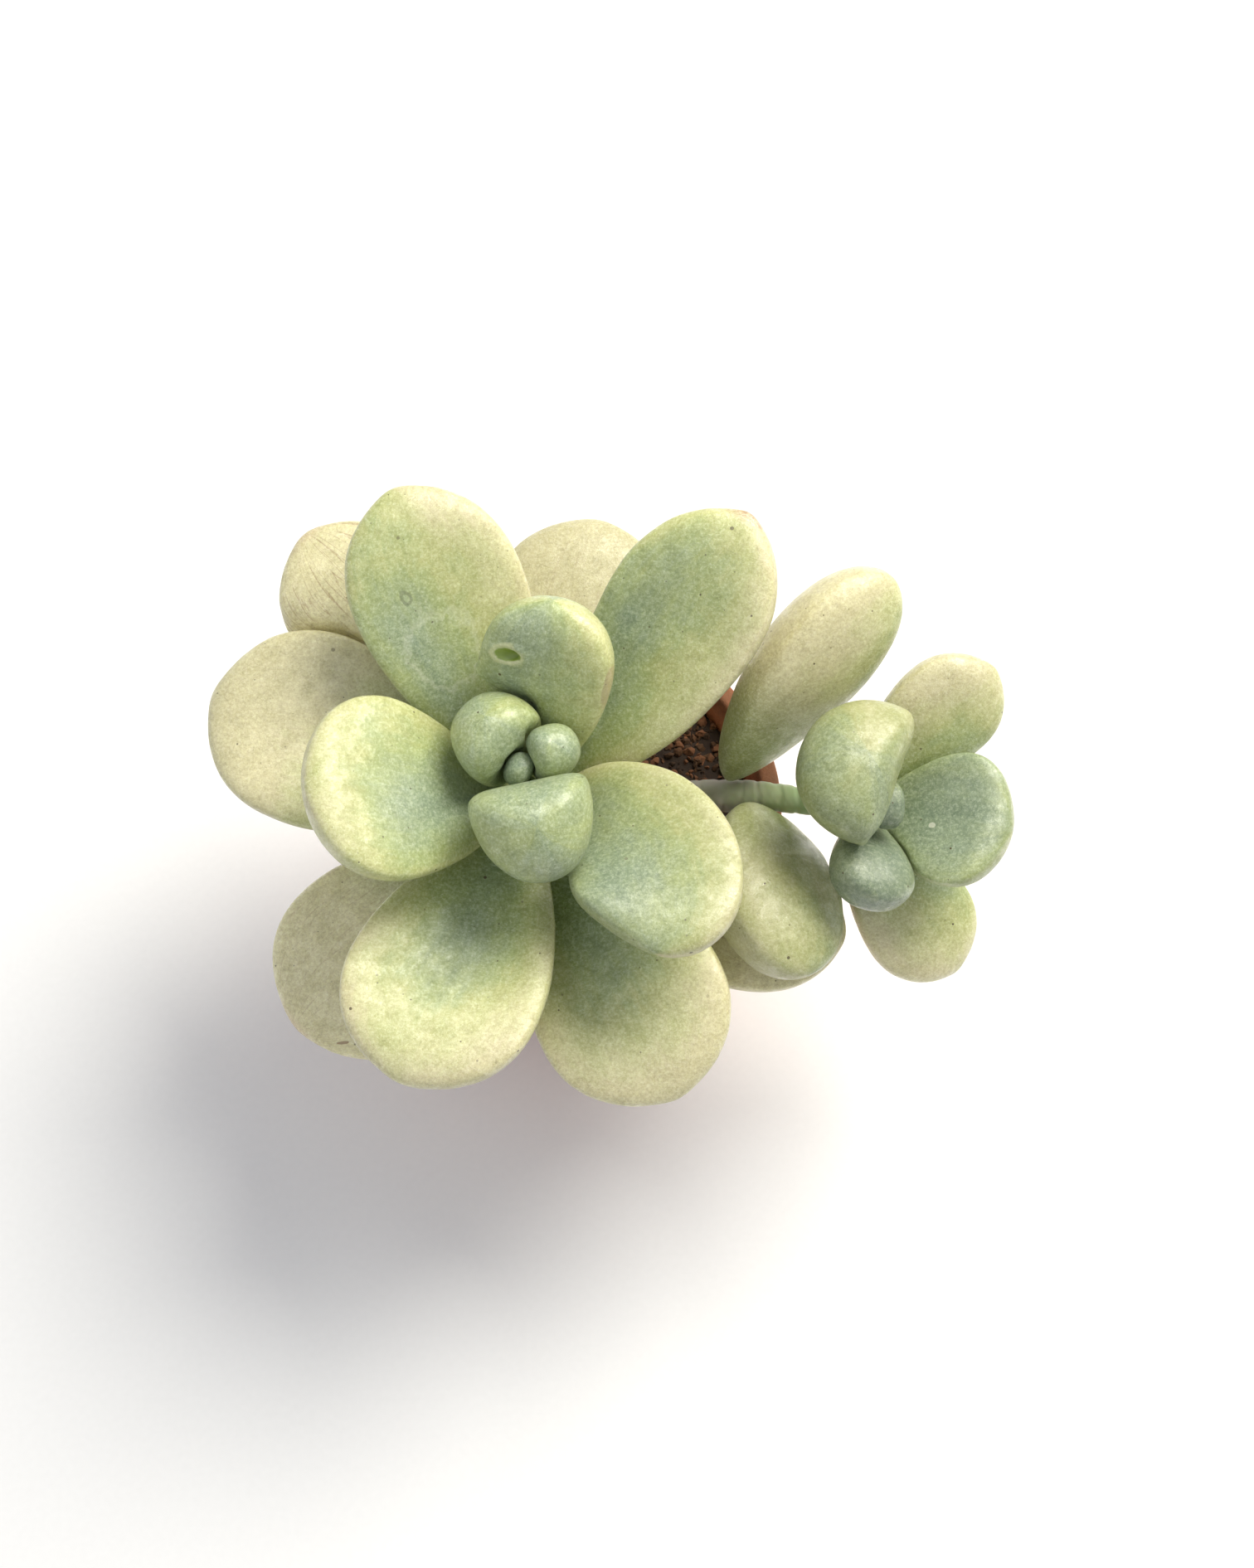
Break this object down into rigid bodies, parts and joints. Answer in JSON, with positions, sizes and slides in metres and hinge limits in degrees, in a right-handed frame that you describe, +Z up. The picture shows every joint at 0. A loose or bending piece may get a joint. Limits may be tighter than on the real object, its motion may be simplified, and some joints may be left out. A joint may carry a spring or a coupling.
{
  "type": "potted succulent",
  "caption": "Small rosette succulent with fat spoon-shaped leaves, a leaning side shoot and a plain tapered clay pot filled with soil.",
  "frame": {"origin": "middle of the pot's foot, on the surface that it stands on", "axes": "+Z up along the pot's axis; +X from the main rosette towards the side shoot; -Y towards the front"},
  "size_m": [0.1096, 0.0828, 0.0921],
  "materials": {
    "terracotta": "unglazed, matt, slightly dusty",
    "potting_soil": "coarse, dark brown, crumbly",
    "stem_skin": "waxy, grey-green",
    "leaf_skin": "waxy with a powdery bloom, cream margins round a blue-green middle"
  },
  "bodies": {
    "root": {"clay_pot": "terracotta", "soil": "potting_soil", "stem": "stem_skin", "leaf_01": "leaf_skin", "leaf_02": "leaf_skin", "leaf_03": "leaf_skin", "leaf_04": "leaf_skin", "leaf_05": "leaf_skin", "leaf_06": "leaf_skin", "leaf_07": "leaf_skin", "leaf_08": "leaf_skin", "leaf_09": "leaf_skin", "leaf_10": "leaf_skin", "leaf_11": "leaf_skin", "leaf_12": "leaf_skin", "leaf_13": "leaf_skin", "leaf_14": "leaf_skin", "leaf_15": "leaf_skin", "leaf_16": "leaf_skin", "side_leaf_1": "leaf_skin", "side_leaf_2": "leaf_skin", "side_leaf_3": "leaf_skin", "side_leaf_4": "leaf_skin", "side_leaf_5": "leaf_skin", "side_leaf_6": "leaf_skin", "side_leaf_7": "leaf_skin", "side_leaf_8": "leaf_skin"}
  },
  "joints": []
}
